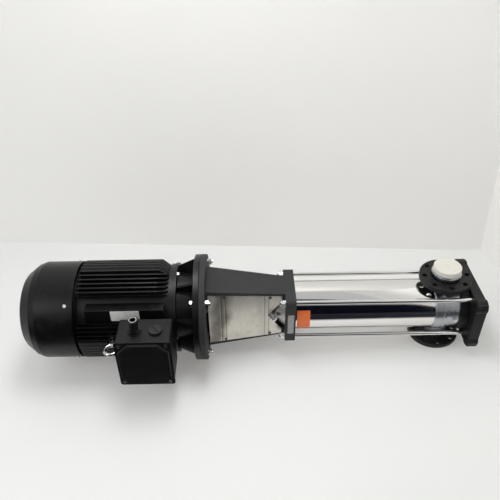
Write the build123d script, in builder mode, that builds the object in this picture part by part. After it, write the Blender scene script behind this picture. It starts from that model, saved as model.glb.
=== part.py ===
"""Vertical multistage in-line centrifugal pump with a flange-mounted electric motor.

The pump stands on its base plate. The origin is the centre of the base plate's underside, +Z runs up the
shaft, the two ports lie along X (discharge +X, suction -X) and the motor's terminal box faces -Y.
All lengths are millimetres.
"""

import os
from math import atan2, copysign, cos, radians, sin, sqrt

from build123d import *

os.makedirs("parts", exist_ok=True)

# ---------------------------------------------------------------- driving dimensions
# Foot: cast base plate with four bolt pads
PLATE_X = 248.0
PLATE_Y = 331.0
PLATE_H = 45.0
PAD_R = 30.0
PLATE_INSET = 6.0
FOOT_HOLE_X = 190.0
FOOT_HOLE_Y = 266.0
FOOT_HOLE_R = 7.0
PLATE_RECESS_H = 18.0
PLATE_RIM = 16.0
HUB_H = 37.0
HUB_MARGIN = 11.0

# Ports
PORT_Z = 140.0
FACE_TO_FACE = 365.0
NECK_R = 57.0
PORT_BORE_R = 52.0
FLANGE_R = 110.0
FLANGE_T = 24.0
FLANGE_PCD = 180.0
FLANGE_HOLE_R = 11.0
FLANGE_HOLES = 8
FLANGE_BACK = 26.0  # how far the discharge flange has slid back along its neck
FLANGE_CLEARANCE = 0.3
FLANGE_TURN = 22.5  # degrees the loose flanges are turned from holes that straddle the shaft
RING_T = 4.0
RING_SETBACK = 7.0
RING_LIP = 5.0
RING_DEPTH = 3.0

# Casing and outer sleeve
CASING_R = 107.0
CASING_WALL = 5.0
STUB_REACH = 6.0  # from the necks' root out to the seam where each neck tube starts
CASING_TOP = 141.0
SLEEVE_R = 109.0
SLEEVE_WALL = 2.5
COLLAR_R = 114.0
COLLAR_TOP = 190.0
COLLAR_STEP = 9.0
DRAIN_Z = 101.0

# Tie rods
ROD_R = 9.5
ROD_OFFSET = 95.3
ROD_CLEARANCE = 0.6
ROD_SEAT_DEPTH = 23.0
ROD_NUT_AF = 27.0
ROD_NUT_H = 15.0
ROD_WASHER_R = 16.0
ROD_WASHER_T = 3.0
ROD_STICKOUT = 10.0

# Motor stool
STOOL_Z = 788.0
STOOL_SQUARE = 234.0
STOOL_CORNER_R = 20.0
STOOL_BASE_H = 44.0
SLEEVE_SOCKET = 8.0
STOOL_BORE_R = 88.0
LEG_FOOT_X = 116.0
LEG_TOP_X = 156.0
LEG_FOOT_Y = 61.0
LEG_TOP_Y = 87.0
LEG_WALL = 14.0
LEG_LIP = 36.0
STOOL_TOP = 1193.0
STOOL_FLANGE_T = 25.0
MOTOR_FLANGE_R = 232.0
MOTOR_FLANGE_T = 25.0
MOTOR_BOLT_EDGE = 32.0  # from the motor flange's rim in to its bolt circle
MOTOR_PCD = 2 * (MOTOR_FLANGE_R - MOTOR_BOLT_EDGE)
MOTOR_HOLE_R = 9.0
SPIGOT_R = 125.0
SPIGOT_H = 5.0
FIT = 0.1  # radial clearance of registers that seat in each other

# Shaft, hydraulics and seal
STAGES = 7
STAGE_PITCH = 82.5
STACK_Z = 180.0
CHAMBER_R = 96.0
CHAMBER_WALL = 3.0
CHAMBER_WEB = 4.0
CHAMBER_EYE_R = 40.0
CHAMBER_TOP_WEB = 10.0  # depth of the bush-carrying web's underside below each chamber's top
BUSH_R = 20.0
IMPELLER_LIFT = 22.0
IMPELLER_R = 78.0
IMPELLER_EYE_R = 36.0
IMPELLER_HUB_R = 20.0
IMPELLER_BLADES = 6
SHROUD_T = 3.0
IMPELLER_WIDTH = 22.0
PUMP_SHAFT_R = 14.0
SHAFT_BOTTOM = 150.0
RUNNING = 0.05  # radial running clearance in the bushes
SEAL_Z = 800.0

# Coupling
COUPLING_R = 46.0
COUPLING_Z = 925.0
COUPLING_H = 150.0
COUPLING_GAP = 3.0
SHAFT_GAP = 6.0

# Motor
MOTOR_SHAFT_R = 30.0
SHIELD_H = 110.0  # stool top to the frame's drive end
SHIELD_NECK_R = 150.0
SHIELD_RING_R = 196.0
SHIELD_RING_T = 13.0
SHIELD_RIBS = 8
SHIELD_RIB_T = 10.0
SHIELD_BOLT_R = 184.0
BEARING_R = 60.0
BEARING_W = 35.0
REAR_BEARING_R = 50.0
SHAFT_STEP = 4.0
BARREL_R = 178.0
BARREL_WALL = 13.0
FIN_TIP_R = 212.0
FIN_T = 5.0
FIN_PITCH = 18.0
FIN_START = 1318.0
FIN_END = 1697.0
FIN_SLOPE = 48.0
FIN_AXIS = 40.0  # degrees between the terminal box side and the direction each fin bank points
FRAME_TOP = 1715.0
SHOULDER_X = 132.5  # the nameplate's shoulder is a square corner standing out of the barrel
SHOULDER_Y = 165.5
SHOULDER_Z = 1339.0
SHOULDER_END_Z = 1660.0
SHOULDER_GAP = 112.0
NAMEPLATE_W = 118.0
NAMEPLATE_H = 52.0
NAMEPLATE_Z = 1496.0
FRAME_RIM_R = 192.0
REAR_SHIELD_T = 18.0
REAR_SHIELD_R = 185.0
LUG_H = 30.0
AIR_GAP = 1.0
CORE_R = 85.0
CORE_Z = 1370.0
CORE_H = 270.0
COVER_R = 210.0
COVER_T = 2.5
COVER_Z = 1709.0
COVER_SHOULDER_Z = 1866.0
COVER_END_R = 160.0
COVER_END_Z = 1940.0
COVER_SCREW_Z = 1738.0
FAN_Z = 1765.0
FAN_H = 75.0
FAN_R = 165.0
FAN_BLADES = 9

# Terminal box, on the -Y side
BOX_Z = 1404.0
BOX_SIZE_Z = 222.0
BOX_SIZE_X = 240.0
BOX_BACK = 200.0
BOX_FRONT = 342.0
BOX_WALL = 5.0
BOX_PEDESTAL_X = 150.0
GLAND_H = 60.0
BOX_CORNER_R = 10.0
LID_T = 6.0
LID_RAISE = 8.0
LID_MARGIN = 9.0
LID_CORNER_CUT = 42.0
LID_SCREW_INSET = 19.0
GLAND_Z = 1440.0
BLANK_Z = 1358.0
ENTRY_Y = -268.0
GLAND_BORE_R = 11.0

# Lifting eyes
EYE_Z = 1553.0
EYE_SEAT = 199.0
EYE_BOSS_R = 20.0
EYE_REACH = 254.0
EYE_R = 26.0
EYE_WIRE_R = 7.5

# Derived stations
PORT_FACE = FACE_TO_FACE / 2
HUB_TOP = PLATE_H + HUB_H
STOOL_BASE_TOP = STOOL_Z + STOOL_BASE_H
STOOL_FLANGE_Z = STOOL_TOP - STOOL_FLANGE_T
MOTOR_FLANGE_TOP = STOOL_TOP + MOTOR_FLANGE_T
FRAME_Z = STOOL_TOP + SHIELD_H
STACK_TOP = STACK_Z + STAGES * STAGE_PITCH
SLEEVE_Z = CASING_TOP + COLLAR_STEP
SLEEVE_TOP = STOOL_Z + SLEEVE_SOCKET
LEG_SLOPE = (LEG_TOP_Y - LEG_FOOT_Y) / (STOOL_FLANGE_Z - STOOL_BASE_TOP)


def save(builder, name):
    """Label a finished sub-part and write it as its own STEP file."""
    builder.part.label = name
    export_step(builder.part, f"parts/{name}.step")


def revolved(points):
    """Turn a closed outline of (radius, height) points once round the Z axis, in the current part."""
    with BuildSketch(Plane.XZ) as outline:
        Polygon(*points, align=None)
    revolve(outline.sketch, axis=Axis.Z)


def hexagon(across_flats):
    """A hexagon sketch of that width across its flats."""
    RegularPolygon(across_flats / sqrt(3), 6)


# ---------------------------------------------------------------- base plate
with BuildPart() as base_plate:
    with BuildSketch():
        Rectangle(PLATE_X - 2 * PLATE_INSET, PLATE_Y - 2 * PLATE_INSET)
        with GridLocations(PLATE_X - 2 * PAD_R, PLATE_Y - 2 * PAD_R, 2, 2):
            Circle(PAD_R)
    extrude(amount=PLATE_H)
    top_rim = base_plate.faces().sort_by(Axis.Z)[-1].edges()
    chamfer(top_rim, length=3)
    with BuildSketch(Plane.XY.offset(PLATE_H)):
        Circle(CASING_R + HUB_MARGIN)
    extrude(amount=HUB_H)
    with BuildSketch():
        Rectangle(PLATE_X - 2 * PLATE_INSET - 2 * PLATE_RIM, PLATE_Y - 2 * PLATE_INSET - 2 * PLATE_RIM)
        with GridLocations(FOOT_HOLE_X, FOOT_HOLE_Y, 2, 2):
            Circle(PAD_R - 6, mode=Mode.SUBTRACT)
        Rectangle(PLATE_X, 14, mode=Mode.SUBTRACT)
    extrude(amount=PLATE_RECESS_H, mode=Mode.SUBTRACT)
    with GridLocations(FOOT_HOLE_X, FOOT_HOLE_Y, 2, 2):
        Hole(FOOT_HOLE_R)
    with BuildSketch(Plane.XY.offset(PLATE_H)):
        with GridLocations(2 * ROD_OFFSET, 2 * ROD_OFFSET, 2, 2):
            Circle(ROD_R + FIT)
    extrude(amount=-ROD_SEAT_DEPTH, mode=Mode.SUBTRACT)
save(base_plate, "base_plate")

# ---------------------------------------------------------------- base casing with its two port necks
NECK_ROOT = COLLAR_R + 2  # the necks' upper halves stop this far from the axis, clear of the collar
with BuildPart() as base_casing:
    with BuildSketch(Plane.XY.offset(HUB_TOP)):
        Circle(CASING_R)
    extrude(amount=CASING_TOP - HUB_TOP)
    with BuildSketch(Plane.YZ):
        with Locations((0, PORT_Z)):
            Circle(NECK_R)
    extrude(amount=PORT_FACE, both=True)
    with BuildSketch(Plane.XY.offset(CASING_TOP)):
        Circle(NECK_ROOT)
    extrude(amount=NECK_R, mode=Mode.SUBTRACT)
    with BuildSketch(Plane.XY.offset(HUB_TOP + CASING_WALL)):
        Circle(CASING_R - CASING_WALL)
    extrude(amount=CASING_TOP, mode=Mode.SUBTRACT)
    for side in (1, -1):
        mouth = Plane((side * PORT_FACE, 0, PORT_Z), x_dir=(0, side, 0), z_dir=(side, 0, 0))
        with BuildSketch(mouth):
            Circle(PORT_BORE_R)
        extrude(amount=NECK_ROOT + CASING_WALL - PORT_FACE, mode=Mode.SUBTRACT)
        with BuildSketch(mouth.offset(-RING_SETBACK)):
            Circle(NECK_R + RING_LIP)
            Circle(NECK_R - RING_DEPTH, mode=Mode.SUBTRACT)
        extrude(amount=-RING_T, mode=Mode.SUBTRACT)
        # the lower part of each bore runs on through the wall into the casing
        with BuildSketch(Plane.YZ):
            with Locations((0, PORT_Z)):
                Circle(PORT_BORE_R)
            with Locations((0, PORT_Z + NECK_R - CASING_WALL)):
                Rectangle(2 * NECK_R, 2 * NECK_R, mode=Mode.SUBTRACT)
        extrude(amount=side * (NECK_ROOT + CASING_WALL), mode=Mode.SUBTRACT)
        # each neck is a tube butted to the short stub that stands on the casing
        with BuildSketch(Plane.YZ.offset(side * (NECK_ROOT + STUB_REACH))):
            with Locations((0, PORT_Z)):
                Circle(NECK_R + RING_LIP)
        extrude(amount=side * FIT, mode=Mode.SUBTRACT)
    with BuildSketch(Plane((0, -CASING_R + 3, DRAIN_Z), z_dir=(0, -1, 0))):
        Circle(11)
    extrude(amount=7)
    with BuildSketch(Plane((0, -CASING_R - 4, DRAIN_Z), z_dir=(0, -1, 0))):
        Circle(6 + FIT)
    extrude(amount=-8, mode=Mode.SUBTRACT)
save(base_casing, "base_casing")

with BuildPart() as drain_plug:
    with BuildSketch(Plane((0, -CASING_R - 4, DRAIN_Z), z_dir=(0, -1, 0))):
        Circle(9)
    extrude(amount=3)
    with BuildSketch(Plane((0, -CASING_R - 7, DRAIN_Z), z_dir=(0, -1, 0))):
        hexagon(14)
    extrude(amount=8)
    with BuildSketch(Plane((0, -CASING_R - 4, DRAIN_Z), z_dir=(0, -1, 0))):
        Circle(6)
    extrude(amount=-6)
save(drain_plug, "drain_plug")

with BuildPart() as sleeve_collar:
    inner = SLEEVE_R + FIT
    revolved([
        (CHAMBER_R - 4, CASING_TOP), (COLLAR_R, CASING_TOP), (COLLAR_R, CASING_TOP + 9),
        (COLLAR_R - 2, CASING_TOP + 11), (COLLAR_R - 2, CASING_TOP + 14), (COLLAR_R, CASING_TOP + 16),
        (COLLAR_R, COLLAR_TOP - 3), (COLLAR_R - 2, COLLAR_TOP), (inner, COLLAR_TOP), (inner, SLEEVE_Z),
        (CHAMBER_R + 4, SLEEVE_Z), (CHAMBER_R + 4, STACK_Z), (CHAMBER_R - 4, STACK_Z),
    ])
save(sleeve_collar, "sleeve_collar")

with BuildPart() as outer_sleeve:
    with BuildSketch(Plane.XY.offset(SLEEVE_Z)):
        Circle(SLEEVE_R)
        Circle(SLEEVE_R - SLEEVE_WALL, mode=Mode.SUBTRACT)
    extrude(amount=SLEEVE_TOP - SLEEVE_Z)
save(outer_sleeve, "outer_sleeve")

# ---------------------------------------------------------------- loose port flanges, their rings and the cap
for side, slid, turn, name in (
    (1, FLANGE_BACK, FLANGE_TURN, "discharge_flange"),
    (-1, 0.0, FLANGE_TURN, "suction_flange"),
):
    face = Plane((side * (PORT_FACE - slid), 0, PORT_Z), x_dir=(0, side, 0), z_dir=(side, 0, 0))
    with BuildPart() as port_flange:
        with BuildSketch(face):
            Circle(FLANGE_R)
            Circle(NECK_R + FLANGE_CLEARANCE, mode=Mode.SUBTRACT)
            with PolarLocations(FLANGE_PCD / 2, FLANGE_HOLES, start_angle=180 / FLANGE_HOLES + turn):
                Circle(FLANGE_HOLE_R, mode=Mode.SUBTRACT)
        extrude(amount=-FLANGE_T)
        with BuildSketch(face):
            Circle(NECK_R + RING_LIP + FLANGE_CLEARANCE)
            Circle(NECK_R, mode=Mode.SUBTRACT)
        extrude(amount=-RING_SETBACK - RING_T - FLANGE_CLEARANCE, mode=Mode.SUBTRACT)
        rims = port_flange.edges().filter_by(GeomType.CIRCLE).filter_by(lambda e: e.radius > FLANGE_R - 1)
        chamfer(rims, length=2)
    save(port_flange, name)

with BuildPart() as retaining_rings:
    for side in (1, -1):
        with BuildSketch(Plane((side * (PORT_FACE - RING_SETBACK), 0, PORT_Z), z_dir=(side, 0, 0))):
            Circle(NECK_R + RING_LIP)
            Circle(NECK_R - RING_DEPTH + FIT, mode=Mode.SUBTRACT)
        extrude(amount=-RING_T)
save(retaining_rings, "retaining_rings")

CAP_R = 58.0
CAP_H = 23.0
CAP_SPIGOT = 22.0
CAP_SLACK = 0.4
with BuildPart() as port_cap:
    with BuildSketch(Plane((PORT_FACE + CAP_SLACK, 0, PORT_Z), z_dir=(1, 0, 0))):
        Circle(CAP_R)
    extrude(amount=CAP_H)
    chamfer(port_cap.faces().sort_by(Axis.X)[-1].edges(), length=2)
    with BuildSketch(Plane((PORT_FACE + CAP_SLACK, 0, PORT_Z), z_dir=(1, 0, 0))):
        Circle(PORT_BORE_R - CAP_SLACK)
    extrude(amount=-CAP_SPIGOT)
    with BuildSketch(Plane((PORT_FACE + CAP_SLACK - CAP_SPIGOT, 0, PORT_Z), z_dir=(1, 0, 0))):
        Circle(PORT_BORE_R - CAP_SLACK - 4)
    extrude(amount=CAP_SPIGOT + CAP_H - 4, mode=Mode.SUBTRACT)
save(port_cap, "port_cap")

# ---------------------------------------------------------------- tie rods and their nuts
ROD_Z = PLATE_H - ROD_SEAT_DEPTH
ROD_END = STOOL_BASE_TOP + ROD_WASHER_T + ROD_NUT_H + ROD_STICKOUT
with BuildPart() as tie_rods:
    with BuildSketch(Plane.XY.offset(ROD_Z)):
        with GridLocations(2 * ROD_OFFSET, 2 * ROD_OFFSET, 2, 2):
            Circle(ROD_R)
    extrude(amount=ROD_END - ROD_Z)
    chamfer(tie_rods.faces().filter_by(Axis.Z).group_by(Axis.Z)[-1].edges(), length=1.5)
save(tie_rods, "tie_rods")

with BuildPart() as tie_rod_nuts:
    with BuildSketch(Plane.XY.offset(STOOL_BASE_TOP)):
        with GridLocations(2 * ROD_OFFSET, 2 * ROD_OFFSET, 2, 2):
            Circle(ROD_WASHER_R - 1)
    extrude(amount=ROD_WASHER_T)
    with BuildSketch(Plane.XY.offset(STOOL_BASE_TOP + ROD_WASHER_T)):
        with GridLocations(2 * ROD_OFFSET, 2 * ROD_OFFSET, 2, 2):
            hexagon(ROD_NUT_AF)
    extrude(amount=ROD_NUT_H)
    with BuildSketch(Plane.XY.offset(STOOL_BASE_TOP)):
        with GridLocations(2 * ROD_OFFSET, 2 * ROD_OFFSET, 2, 2):
            Circle(ROD_R + FIT)
    extrude(amount=ROD_WASHER_T + ROD_NUT_H, mode=Mode.SUBTRACT)
save(tie_rod_nuts, "tie_rod_nuts")

# ---------------------------------------------------------------- motor stool
def leg_outline(side, outer_x, half_y):
    """One leg's channel section: a wall across the end and a lip turned inwards along each edge."""
    wall = outer_x - LEG_WALL
    lip = outer_x - LEG_LIP
    outline = [
        (outer_x, -half_y), (outer_x, half_y), (lip, half_y), (lip, half_y - LEG_WALL),
        (wall, half_y - LEG_WALL), (wall, -half_y + LEG_WALL), (lip, -half_y + LEG_WALL), (lip, -half_y),
    ]
    Polygon(*[(side * x, y) for x, y in outline], align=None)


with BuildPart() as motor_stool:
    for side in (1, -1):
        with BuildSketch(Plane.XY.offset(STOOL_BASE_TOP - 1)):
            leg_outline(side, LEG_FOOT_X, LEG_FOOT_Y)
        with BuildSketch(Plane.XY.offset(STOOL_FLANGE_Z + 1)):
            leg_outline(side, LEG_TOP_X, LEG_TOP_Y)
        loft(ruled=True)
    with BuildSketch(Plane.XY.offset(STOOL_Z)):
        RectangleRounded(STOOL_SQUARE, STOOL_SQUARE, STOOL_CORNER_R)
        Rectangle(2 * LEG_FOOT_X, 2 * LEG_FOOT_Y)
    extrude(amount=STOOL_BASE_H)
    with BuildSketch(Plane.XY.offset(STOOL_FLANGE_Z)):
        Circle(MOTOR_FLANGE_R)
    extrude(amount=STOOL_FLANGE_T)
    with BuildSketch(Plane.XY.offset(STOOL_FLANGE_Z)):
        Circle(SPIGOT_R)
        with PolarLocations(MOTOR_PCD / 2, 4, start_angle=45):
            Circle(MOTOR_HOLE_R)
    extrude(amount=STOOL_FLANGE_T, mode=Mode.SUBTRACT)
    with BuildSketch(Plane.XY.offset(STOOL_Z)):
        Circle(STOOL_BORE_R)
        with GridLocations(2 * ROD_OFFSET, 2 * ROD_OFFSET, 2, 2):
            Circle(ROD_R + ROD_CLEARANCE)
    extrude(amount=STOOL_BASE_H, mode=Mode.SUBTRACT)
    with BuildSketch(Plane.XY.offset(STOOL_Z)):
        Circle(SLEEVE_R + FIT)
    extrude(amount=SLEEVE_SOCKET, mode=Mode.SUBTRACT)
    outer_rims = motor_stool.edges().filter_by(GeomType.CIRCLE).filter_by(lambda e: e.radius > SPIGOT_R + 1)
    chamfer(outer_rims, length=2)
save(motor_stool, "motor_stool")

# ---------------------------------------------------------------- pump head, seal and priming plug
HEAD_SPIGOT_R = SLEEVE_R - SLEEVE_WALL - FIT
HEAD_CONE_TOP = 905.0
HEAD_TOP_R = 42.0
SEAL_BORE_R = 34.0
VENT_Z = 882.0
VENT_BOSS_Y = 82.0
VENT_R = 13.0
with BuildPart() as pump_head:
    revolved([
        (SEAL_BORE_R, STACK_TOP), (HEAD_SPIGOT_R, STACK_TOP), (HEAD_SPIGOT_R, SLEEVE_TOP),
        (STOOL_BORE_R - FIT, SLEEVE_TOP), (STOOL_BORE_R - FIT, STOOL_BASE_TOP), (HEAD_TOP_R, HEAD_CONE_TOP - 12),
        (HEAD_TOP_R, HEAD_CONE_TOP), (PUMP_SHAFT_R + 4, HEAD_CONE_TOP), (PUMP_SHAFT_R + 4, HEAD_CONE_TOP - 8),
        (SEAL_BORE_R, HEAD_CONE_TOP - 8),
    ])
    with BuildSketch(Plane((0, -SEAL_BORE_R - 2, VENT_Z), z_dir=(0, -1, 0))):
        Circle(VENT_R + 5)
    extrude(amount=VENT_BOSS_Y - SEAL_BORE_R - 2)
    with BuildSketch(Plane((0, -VENT_BOSS_Y, VENT_Z), z_dir=(0, -1, 0))):
        Circle(VENT_R - 3 + FIT)
    extrude(amount=-14, mode=Mode.SUBTRACT)
save(pump_head, "pump_head")

with BuildPart() as priming_plug:
    with BuildSketch(Plane((0, -VENT_BOSS_Y, VENT_Z), z_dir=(0, -1, 0))):
        Circle(VENT_R + 2)
    extrude(amount=2)
    with BuildSketch(Plane((0, -VENT_BOSS_Y - 2, VENT_Z), z_dir=(0, -1, 0))):
        hexagon(24)
    extrude(amount=9)
    with BuildSketch(Plane((0, -VENT_BOSS_Y, VENT_Z), z_dir=(0, -1, 0))):
        Circle(VENT_R - 3)
    extrude(amount=-12)
    with BuildSketch(Plane((0, -VENT_BOSS_Y - 11, VENT_Z), z_dir=(0, -1, 0))):
        Circle(4)
    extrude(amount=-15, mode=Mode.SUBTRACT)
save(priming_plug, "priming_plug")

with BuildPart() as vent_screw:
    with BuildSketch(Plane((0, -VENT_BOSS_Y - 11.5, VENT_Z), z_dir=(0, -1, 0))):
        hexagon(12)
    extrude(amount=8)
    with BuildSketch(Plane((0, -VENT_BOSS_Y - 11.5, VENT_Z), z_dir=(0, -1, 0))):
        Circle(4 - RUNNING)
    extrude(amount=-13)
save(vent_screw, "vent_screw")

with BuildPart() as seal_seat:
    revolved([
        (PUMP_SHAFT_R + 1, SEAL_Z + 60), (SEAL_BORE_R - FIT, SEAL_Z + 60), (SEAL_BORE_R - FIT, SEAL_Z + 74),
        (PUMP_SHAFT_R + 1, SEAL_Z + 74),
    ])
save(seal_seat, "seal_seat")

with BuildPart() as seal_ring:
    revolved([
        (PUMP_SHAFT_R, SEAL_Z + 20), (24, SEAL_Z + 20), (24, SEAL_Z + 45), (28, SEAL_Z + 45),
        (28, SEAL_Z + 59.7), (PUMP_SHAFT_R, SEAL_Z + 59.7),
    ])
save(seal_ring, "seal_ring")

# ---------------------------------------------------------------- pump shaft and stages
COUPLING_MID = COUPLING_Z + COUPLING_H / 2
with BuildPart() as pump_shaft:
    with BuildSketch(Plane.XY.offset(SHAFT_BOTTOM)):
        Circle(PUMP_SHAFT_R)
    extrude(amount=COUPLING_MID - SHAFT_GAP / 2 - SHAFT_BOTTOM)
    chamfer(pump_shaft.faces().sort_by(Axis.Z)[-1].edges(), length=2)
save(pump_shaft, "pump_shaft")


def blade_outline(turned, inner_r, outer_r, sweep, thick):
    """One backward-curved blade's outline in plan, from its inner to its outer radius."""
    stations = (
        (inner_r, turned), ((inner_r + outer_r) / 2, turned + sweep * 0.35), (outer_r, turned + sweep),
    )
    leading = [(r * cos(radians(a)), r * sin(radians(a))) for r, a in stations]
    trailing = [(r * cos(radians(a) + thick / r), r * sin(radians(a) + thick / r)) for r, a in stations]
    Polygon(*leading, *reversed(trailing), align=None)


with BuildPart() as bearing_bushes:
    for stage in range(STAGES):
        web_z = STACK_Z + (stage + 1) * STAGE_PITCH - CHAMBER_TOP_WEB
        with BuildSketch(Plane.XY.offset(web_z - 3)):
            Circle(BUSH_R)
            Circle(PUMP_SHAFT_R + RUNNING, mode=Mode.SUBTRACT)
        extrude(amount=CHAMBER_WEB + 6)
save(bearing_bushes, "bearing_bushes")

for stage in range(STAGES):
    floor_z = STACK_Z + stage * STAGE_PITCH
    with BuildPart() as chamber:
        revolved([
            (CHAMBER_EYE_R, floor_z), (CHAMBER_R, floor_z), (CHAMBER_R, floor_z + STAGE_PITCH),
            (CHAMBER_R - CHAMBER_WALL, floor_z + STAGE_PITCH), (CHAMBER_R - CHAMBER_WALL, floor_z + CHAMBER_WEB),
            (CHAMBER_EYE_R, floor_z + CHAMBER_WEB),
        ])
        with BuildSketch(Plane.XY.offset(floor_z + STAGE_PITCH - CHAMBER_TOP_WEB)):
            Circle(CHAMBER_R - CHAMBER_WALL)
            Circle(BUSH_R, mode=Mode.SUBTRACT)
            with PolarLocations(0.7 * CHAMBER_R, 4, start_angle=45):
                Rectangle(20, 60, mode=Mode.SUBTRACT)
        extrude(amount=CHAMBER_WEB)
    save(chamber, f"chamber_{stage + 1}")

    wheel_z = floor_z + IMPELLER_LIFT
    with BuildPart() as impeller:
        revolved([
            (IMPELLER_EYE_R, wheel_z), (IMPELLER_R, wheel_z), (IMPELLER_R, wheel_z + SHROUD_T),
            (IMPELLER_EYE_R, wheel_z + SHROUD_T),
        ])
        with BuildSketch(Plane.XY.offset(wheel_z + SHROUD_T)):
            for blade in range(IMPELLER_BLADES):
                blade_outline(360 / IMPELLER_BLADES * blade, IMPELLER_EYE_R - 4, IMPELLER_R - 1, 60, 4)
        extrude(amount=IMPELLER_WIDTH - 2 * SHROUD_T)
        revolved([
            (PUMP_SHAFT_R, wheel_z + SHROUD_T), (IMPELLER_HUB_R, wheel_z + SHROUD_T),
            (IMPELLER_EYE_R - 6, wheel_z + IMPELLER_WIDTH - SHROUD_T),
            (IMPELLER_R, wheel_z + IMPELLER_WIDTH - SHROUD_T), (IMPELLER_R, wheel_z + IMPELLER_WIDTH),
            (PUMP_SHAFT_R, wheel_z + IMPELLER_WIDTH),
        ])
    save(impeller, f"impeller_{stage + 1}")

# ---------------------------------------------------------------- coupling
EAR_X = 60.0
EAR_Y = 20.0
EAR_BOLT_X = 51.0
for side, name in ((-1, "coupling_half_front"), (1, "coupling_half_rear")):
    with BuildPart() as coupling_half:
        with BuildSketch(Plane.XY.offset(COUPLING_Z)):
            Circle(COUPLING_R)
            Rectangle(2 * EAR_X, 2 * EAR_Y)
            with Locations((0, -side * (EAR_X - COUPLING_GAP / 2))):
                Rectangle(2 * EAR_X, 2 * EAR_X, mode=Mode.SUBTRACT)
        extrude(amount=COUPLING_H)
        with BuildSketch(Plane.XY.offset(COUPLING_Z)):
            Circle(PUMP_SHAFT_R)
        extrude(amount=COUPLING_H, mode=Mode.SUBTRACT)
        with BuildSketch(Plane.XY.offset(COUPLING_MID)):
            Circle(MOTOR_SHAFT_R - SHAFT_STEP)
        extrude(amount=COUPLING_H, mode=Mode.SUBTRACT)
        for x in (EAR_BOLT_X, -EAR_BOLT_X):
            for z in (COUPLING_Z + 28, COUPLING_Z + COUPLING_H - 28):
                with BuildSketch(Plane((x, 0, z), z_dir=(0, side, 0))):
                    Circle(5 + FIT)
                extrude(amount=EAR_Y, mode=Mode.SUBTRACT)
    save(coupling_half, name)

with BuildPart() as coupling_bolts:
    for x in (EAR_BOLT_X, -EAR_BOLT_X):
        for z in (COUPLING_Z + 28, COUPLING_Z + COUPLING_H - 28):
            with BuildSketch(Plane((x, -EAR_Y, z), z_dir=(0, -1, 0))):
                Circle(7.5)
            extrude(amount=8)
            with BuildSketch(Plane((x, -EAR_Y, z), z_dir=(0, 1, 0))):
                Circle(5)
            extrude(amount=2 * EAR_Y + 8)
            with BuildSketch(Plane((x, EAR_Y, z), z_dir=(0, 1, 0))):
                hexagon(15)
            extrude(amount=6)
save(coupling_bolts, "coupling_bolts")

# ---------------------------------------------------------------- coupling guards
GUARD_Z = 845.0
GUARD_END_Z = 1161.0
GUARD_T = 2.0
GUARD_GAP = 0.3
GUARD_FOOT_X = 108.0
GUARD_TOP_X = 138.0
NOTCH_X = 82.0
NOTCH_Z = 905.0
GUARD_SCREW_Z = (897.0, 1092.0)
LEAN = atan2(LEG_TOP_Y - LEG_FOOT_Y, STOOL_FLANGE_Z - STOOL_BASE_TOP)


def guard_plane(side, lift):
    """The plane of a guard's inner face plus a lift, with its origin level with the guard's lower edge."""
    foot_y = LEG_FOOT_Y + LEG_SLOPE * (GUARD_Z - STOOL_BASE_TOP) + GUARD_GAP
    face = Plane((0, side * foot_y, GUARD_Z), x_dir=(-side, 0, 0), z_dir=(0, side * cos(LEAN), -sin(LEAN)))
    return face.offset(lift)


def guard_half_width(z):
    """Half the guard's width at that height."""
    return GUARD_FOOT_X + (GUARD_TOP_X - GUARD_FOOT_X) * (z - GUARD_Z) / (GUARD_END_Z - GUARD_Z)


GUARD_LENGTH = (GUARD_END_Z - GUARD_Z) / cos(LEAN)
for side, name in ((-1, "coupling_guard_front"), (1, "coupling_guard_rear")):
    with BuildPart() as guard:
        with BuildSketch(guard_plane(side, 0)):
            Polygon(
                (-GUARD_FOOT_X, 0), (-NOTCH_X, 0), (0, NOTCH_Z - GUARD_Z), (NOTCH_X, 0), (GUARD_FOOT_X, 0),
                (GUARD_TOP_X, GUARD_LENGTH), (-GUARD_TOP_X, GUARD_LENGTH), align=None,
            )
            for z in GUARD_SCREW_Z:
                with Locations((guard_half_width(z) - 9, z - GUARD_Z), (9 - guard_half_width(z), z - GUARD_Z)):
                    Circle(2.5 + FIT, mode=Mode.SUBTRACT)
        extrude(amount=GUARD_T)
        with BuildSketch(guard_plane(side, GUARD_T)):
            for z in (907, 925, 1092, 1110):
                with Locations((0, z - GUARD_Z)):
                    SlotOverall(2 * guard_half_width(z) - 44, 5)
        extrude(amount=1.6)
    save(guard, name)

with BuildPart() as guard_screws:
    for side in (-1, 1):
        for z in GUARD_SCREW_Z:
            for x in (guard_half_width(z) - 9, 9 - guard_half_width(z)):
                with BuildSketch(guard_plane(side, GUARD_T)):
                    with Locations((x, z - GUARD_Z)):
                        Circle(6.5)
                extrude(amount=1.2)
                with BuildSketch(guard_plane(side, GUARD_T + 1.2)):
                    with Locations((x, z - GUARD_Z)):
                        hexagon(8)
                extrude(amount=4)
                with BuildSketch(guard_plane(side, GUARD_T)):
                    with Locations((x, z - GUARD_Z)):
                        Circle(2.5)
                extrude(amount=-GUARD_T)
save(guard_screws, "guard_screws")

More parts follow.
